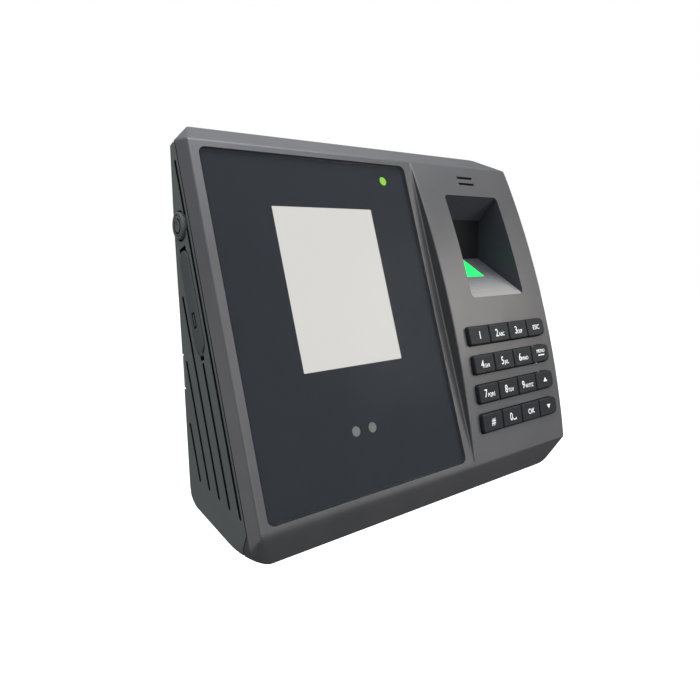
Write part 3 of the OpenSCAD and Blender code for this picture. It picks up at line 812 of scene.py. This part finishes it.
def legend(n, px, py, blocks, gap=0.3):
    """Prints blocks of (shape, x shift or None, y shift) side by side, centred on key n."""
    total = sum(b[0][2] for b in blocks if b[1] is None)
    total += gap * (sum(1 for b in blocks if b[1] is None) - 1)
    bm = bmesh.new()
    x = -total / 2
    for (points, faces, width), fixed, dy in blocks:
        at = x if fixed is None else fixed - width / 2
        made = []
        for p in points:
            x_on, y_on = px + at + p.x + INK_SHIFT, py + p.y + dy
            over = INK_TOP if p.z > 0 else INK_FOOT
            made.append(bm.verts.new(panel(x_on, y_on, face_z(y_on, KEY_PROUD) + over)))
        for f in faces:
            if len(set(f)) > 2:
                try:
                    bm.faces.new([made[i] for i in f])
                except ValueError:
                    pass
        if fixed is None:
            x += width + gap
    bmesh.ops.remove_doubles(bm, verts=bm.verts, dist=1e-7)
    name = KEY_NAMES[n]
    obj = solid(bm, f"legend_{name}", LEGEND)
    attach(obj, f"key_{name}")


# Heights of the digits and of the letters beside them, and how much both are narrowed
DIGIT, SMALL = 3.1, 1.5
NARROW, SMALL_NARROW = 0.8, 0.85
LETTERS = {2: "ABC", 3: "DEF", 4: "GHI", 5: "JKL", 6: "MNO", 7: "PQRS", 8: "TUV", 9: "WXYZ"}


def key_blocks(name):
    """What key `name` has printed on it."""
    half = DIGIT / 2
    if name.isdigit() and name != "0":
        blocks = [(glyphs(name, DIGIT, NARROW), None, -half)]
        if int(name) in LETTERS:
            blocks.append((glyphs(LETTERS[int(name)], SMALL, SMALL_NARROW), None, -half))
        return blocks
    if name == "0":
        space = [(0, 0.8), (0, 0), (2, 0), (2, 0.8), (1.7, 0.8), (1.7, 0.32), (0.3, 0.32)]
        space.append((0.3, 0.8))
        return [(glyphs("0", DIGIT, NARROW), None, -half), (poly(space), None, -half)]
    if name == "menu":
        bar = rectangle(0, 0, 4.2, 0.45)
        return [(glyphs("MENU", 1.45, 0.95), None, 0.3), (poly(bar), 0.1, -1.0)]
    if name == "up":
        return [(poly([(-1.2, -0.8), (1.2, -0.8), (0, 0.95)]), None, 0)]
    if name == "down":
        return [(poly([(-1.2, 0.8), (0, -0.95), (1.2, 0.8)]), None, 0)]
    words, height = {"esc": ("ESC", 1.95), "ok": ("OK", 2.05), "hash": ("#", 2.6)}[name]
    return [(glyphs(words, height, 1.0), None, -height / 2)]


for number, key_name in enumerate(KEY_NAMES):
    at_x, at_y = build_key(number)
    legend(number, at_x, at_y, key_blocks(key_name))

# ---------- left side: button and cover ----------


def side_point(out, y, z):
    """A point of the left side: out is the distance outwards from the side plane."""
    return panel(SIDE_X - out, y, z)


def turned(name, mat, profile, centre, count=72):
    """A solid turned about an axis along X: profile is (distance out, radius), back to front."""
    bm = bmesh.new()
    turns = [2 * pi * i / count for i in range(count)]
    loops = []
    for out, r in profile:
        ring = [(centre[0] + r * cos(a), centre[1] + r * sin(a)) for a in turns]
        loops.append([bm.verts.new(side_point(out, y, z)) for y, z in ring])
    for a, b in zip(loops, loops[1:]):
        bridge(bm, a, b)
    bm.faces.new(loops[0])
    bm.faces.new(loops[-1])
    return solid(bm, name, mat)


def cut(obj, cutter):
    """Takes cutter out of obj and deletes cutter."""
    boolean = obj.modifiers.new("cut", "BOOLEAN")
    boolean.operation = "DIFFERENCE"
    boolean.solver = "EXACT"
    boolean.object = cutter
    baked(obj)
    bpy.data.objects.remove(cutter)
    return obj


def arc(r, a0, a1, count=40):
    """Points of an arc, angles in degrees."""
    turns = [radians(a0 + (a1 - a0) * i / count) for i in range(count + 1)]
    return [(r * cos(a), r * sin(a)) for a in turns]


def ring_shape(r0, r1, a0, a1):
    """Corners of part of a ring, angles in degrees."""
    return arc(r1, a0, a1) + arc(r0, a0, a1)[::-1]


def side_prism(name, shape, centre, out0, out1, mat):
    """A prism from the side plane's (y, z) shape, between two distances out."""
    bm = bmesh.new()
    low = [bm.verts.new(side_point(out0, centre[0] + u, centre[1] + v)) for u, v in shape]
    high = [bm.verts.new(side_point(out1, centre[0] + u, centre[1] + v)) for u, v in shape]
    bm.faces.new(low)
    bm.faces.new(high)
    bridge(bm, low, high)
    return solid(bm, name, mat)


def button_groove(p, normal):
    """The sunk faces of the power sign and of the ring round it, which take painted shade."""
    r = sqrt((p.y - BUTTON[0]) ** 2 + (p.z - BUTTON[1]) ** 2)
    return SIDE_X - p.x < BUTTON_PROUD - 0.1 and (r < 2.75 or 3.2 < r < 3.5) and p.x < SIDE_X


def cover_groove(p, normal):
    """The sunk faces of the mark on the cover, which take painted shade."""
    in_mark = abs(p.y - MARK[0]) < 2.7 and abs(p.z - MARK[1]) < 1.2
    return in_mark and p.x < SIDE_X and SIDE_X - p.x < COVER_PROUD - 0.06


def build_button():
    """The power button: a cap on a stem, with a sunk ring near its rim and the power sign."""
    proud, r = BUTTON_PROUD, BUTTON_R
    cap_back, stem_length, stem_r, edge_r, steps = -0.7, 3, 2.1, 0.5, 4
    profile = [(cap_back - stem_length, stem_r), (cap_back, stem_r), (cap_back, r)]
    for i in range(steps + 1):
        a = radians(90 * i / steps)
        profile.append((proud - edge_r + edge_r * sin(a), r - edge_r + edge_r * cos(a)))
    profile += [(proud, r - 0.75), (proud - 0.16, r - 0.95), (proud - 0.16, r - 1.1)]
    profile += [(proud - 0.05, r - 1.3), (proud - 0.02, r - 2.2), (proud, 0.6)]
    obj = turned("button_cap", BUTTON_MAT, profile, BUTTON)
    for name, shape in (
        ("ring", ring_shape(2.05, 2.6, 28, 332)), ("bar", rectangle(0.2, -0.28, 2.6, 0.28)),
    ):
        cut(obj, side_prism(name, shape, BUTTON, proud - 0.3, proud + 1, BUTTON_MAT))
    shade(obj, 30)
    dress(obj, BUTTON_MAT)
    face_finishes(obj, (SHADOW, button_groove))
    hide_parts("power_button")
    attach(obj, "power_button")


build_button()
cover = soft_copy("usb_cover", "cover_skin", COVER_MAT, ((anywhere, 0.4, 3),), 40)
port_mark = rectangle(-2.6, -1.1, 2.6, 1.1)
slot_mark = rectangle(-1.9, -0.45, 1.9, 0.45)
mark = side_prism("mark", port_mark, MARK, COVER_PROUD - 0.25, COVER_PROUD + 1, COVER_MAT)
cut(mark, side_prism("slot", slot_mark, MARK, COVER_PROUD - 1, COVER_PROUD + 2, COVER_MAT))
cut(cover, mark)
shade(cover, 30)
dress(cover, COVER_MAT)
face_finishes(cover, (SHADOW, cover_groove))
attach(cover, "usb_cover")

# ---------- light and stage ----------


def area(name, place, aim, size, power, tint=(1, 1, 1)):
    """A soft box at place that points at aim."""
    light = bpy.data.lights.new(name, "AREA")
    light.shape = "RECTANGLE"
    light.size, light.size_y = size
    light.energy = power
    light.color = tint
    obj = bpy.data.objects.new(name, light)
    scene.collection.objects.link(obj)
    obj.location = place
    obj.rotation_euler = (Vector(aim) - Vector(place)).to_track_quat("-Z", "Y").to_euler()


# Light of the surroundings from straight below, 0, to straight above, 1
SKY = ((0.0, 0.10), (0.42, 0.20), (0.55, 0.42), (0.75, 0.75), (1.0, 1.3))


def add_world():
    """Soft light that grows upwards and fades to the far right, and white behind the object."""
    world = bpy.data.worlds.new("studio")
    scene.world = world
    world.use_nodes = True
    tree = world.node_tree
    tree.nodes.clear()
    coord = tree.nodes.new("ShaderNodeTexCoord")
    split = tree.nodes.new("ShaderNodeSeparateXYZ")
    ramp = tree.nodes.new("ShaderNodeValToRGB")
    rise = tree.nodes.new("ShaderNodeMapRange")
    set_range(rise, -1, 1, 0, 1)
    tree.links.new(coord.outputs["Generated"], split.inputs[0])
    tree.links.new(split.outputs["Z"], rise.inputs["Value"])
    tree.links.new(rise.outputs["Result"], ramp.inputs["Fac"])
    while len(ramp.color_ramp.elements) < len(SKY):
        ramp.color_ramp.elements.new(0.5)
    for element, (at, value) in zip(ramp.color_ramp.elements, SKY):
        element.position = at
        element.color = (value * 0.98, value, value * 1.04, 1)
    dim = tree.nodes.new("ShaderNodeBackground")
    tree.links.new(ramp.outputs["Color"], dim.inputs["Color"])
    fade = tree.nodes.new("ShaderNodeMapRange")
    set_range(fade, 0.6, 0.86, 1.0, 0.2)
    tree.links.new(split.outputs["X"], fade.inputs["Value"])
    tree.links.new(fade.outputs["Result"], dim.inputs["Strength"])
    white = tree.nodes.new("ShaderNodeBackground")
    white.inputs["Strength"].default_value = 1.0
    white.inputs["Color"].default_value = (1, 1, 1, 1)
    path = tree.nodes.new("ShaderNodeLightPath")
    mix = tree.nodes.new("ShaderNodeMixShader")
    out = tree.nodes.new("ShaderNodeOutputWorld")
    tree.links.new(path.outputs["Is Camera Ray"], mix.inputs["Fac"])
    tree.links.new(dim.outputs[0], mix.inputs[1])
    tree.links.new(white.outputs[0], mix.inputs[2])
    tree.links.new(mix.outputs[0], out.inputs["Surface"])


def add_floor():
    """A pale floor well below the wall-mounted terminal."""
    bm = bmesh.new()
    size, height, rings, count = 6.0, -0.45, 12, 48
    turns = [2 * pi * i / count for i in range(count)]
    centre = bm.verts.new((0, 0, height))
    loops = []
    for k in range(1, rings + 1):
        r = size * (k / rings) ** 2
        loops.append([bm.verts.new((r * cos(a), r * sin(a), height)) for a in turns])
    for i in range(count):
        bm.faces.new((centre, loops[0][i], loops[0][(i + 1) % count]))
    for a, b in zip(loops, loops[1:]):
        bridge(bm, b, a)
    n = Nodes("pale_floor")
    mat = n.set(
        color=n.mix(n.noise(3, 2), (0.9, 0.9, 0.9), (0.93, 0.93, 0.93)),
        rough=0.9, spec=0.1, glow=(1.0, 1.0, 1.0), glow_power=0.45,
    )
    floor = new_object("floor", to_mesh(bm, "floor"), mat)
    floor.visible_diffuse = False
    floor.visible_glossy = False
    floor.visible_shadow = False


add_world()
add_floor()
area("top_light", (0.1, -0.35, 0.9), (0, 0, 0), (1.0, 0.7), 9)
area("front_light", (-0.1, -1.1, 0.15), (0, 0, 0), (0.7, 0.7), 3)
area("low_light", (0.85, -0.95, -0.14), (0, 0, 0), (0.5, 0.3), 1.2)
area("left_light", (-1.0, 0.0, -0.15), (0, 0, 0), (0.6, 0.6), 1.2)
area(
    "right_light", (0.175, -0.2, 0.083), (0.015, -0.035, 0), (0.12, 0.12), 0.24,
    (1, 0.94, 0.85),
)
scene.view_settings.view_transform = "Standard"
